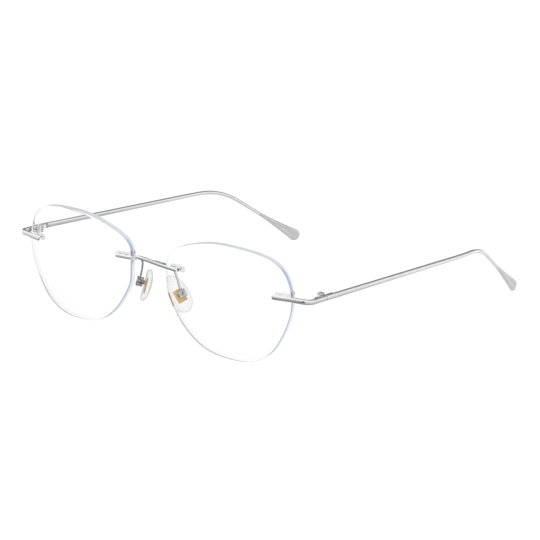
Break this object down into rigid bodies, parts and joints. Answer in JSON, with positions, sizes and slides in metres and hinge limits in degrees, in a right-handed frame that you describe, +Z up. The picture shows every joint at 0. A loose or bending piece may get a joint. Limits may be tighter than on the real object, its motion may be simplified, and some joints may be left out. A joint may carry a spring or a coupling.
{
  "type": "eyeglasses",
  "caption": "Rimless eyeglasses: clear lenses held by a metal bridge and endpieces, with folding temples, satin tips and adjustable silicone nose pads.",
  "frame": {"origin": "middle of the bounding box's underside, level with the undersides of the lenses and of the temple tips", "axes": "+Z up, -Y the way the wearer looks, +X the wearer's left; the temples run along +Y"},
  "size_m": [0.1308, 0.1522, 0.0395],
  "materials": {
    "polished_metal": "polished, tarnish-free silver",
    "lens_clear": "clear, coated",
    "clear_plastic": "clear",
    "silicone": "translucent, soft gloss",
    "gold_metal": "polished gold tone",
    "tip_satin": "satin grey"
  },
  "bodies": {
    "front": {"bridge_bar": "polished_metal", "lens_left": "lens_clear", "lens_bush_temporal_left": "clear_plastic", "mount_pin_temporal_1_left": "polished_metal", "mount_pin_temporal_2_left": "polished_metal", "lens_bush_nasal_left": "clear_plastic", "mount_pin_nasal_1_left": "polished_metal", "mount_pin_nasal_2_left": "polished_metal", "endpiece_left": "polished_metal", "hinge_front_left": "polished_metal", "hinge_screw_left": "polished_metal", "nose_pad_arm_left": "polished_metal", "nose_pad_box_left": "polished_metal", "nose_pad_screw_left": "polished_metal", "lens_right": "lens_clear", "lens_bush_temporal_right": "clear_plastic", "mount_pin_temporal_1_right": "polished_metal", "mount_pin_temporal_2_right": "polished_metal", "lens_bush_nasal_right": "clear_plastic", "mount_pin_nasal_1_right": "polished_metal", "mount_pin_nasal_2_right": "polished_metal", "endpiece_right": "polished_metal", "hinge_front_right": "polished_metal", "hinge_screw_right": "polished_metal", "nose_pad_arm_right": "polished_metal", "nose_pad_box_right": "polished_metal", "nose_pad_screw_right": "polished_metal"},
    "temple_left": {"temple_left": "polished_metal", "temple_tip_left": "tip_satin", "hinge_rear_left": "polished_metal"},
    "temple_right": {"temple_right": "polished_metal", "temple_tip_right": "tip_satin", "hinge_rear_right": "polished_metal"},
    "nose_pad_left": {"nose_pad_left": "silicone", "nose_pad_core_left": "gold_metal"},
    "nose_pad_right": {"nose_pad_right": "silicone", "nose_pad_core_right": "gold_metal"}
  },
  "joints": [
    {"name": "temple_fold_left", "type": "hinge", "parent": "front", "child": "temple_left", "pos_m": [0.06272, -0.0576, 0.02525], "axis": [0, 0, 1], "range_deg": [0, 88]},
    {"name": "nose_pad_rock_left", "type": "hinge", "parent": "front", "child": "nose_pad_left", "pos_m": [0.01001, -0.0643, 0.01731], "axis": [-0.4884, -0.7384, -0.465], "range_deg": [-8, 8]},
    {"name": "temple_fold_right", "type": "hinge", "parent": "front", "child": "temple_right", "pos_m": [-0.06272, -0.0576, 0.02525], "axis": [0, 0, -1], "range_deg": [0, 85]},
    {"name": "nose_pad_rock_right", "type": "hinge", "parent": "front", "child": "nose_pad_right", "pos_m": [-0.01001, -0.0643, 0.01731], "axis": [-0.4884, 0.7384, 0.465], "range_deg": [-8, 8]}
  ]
}
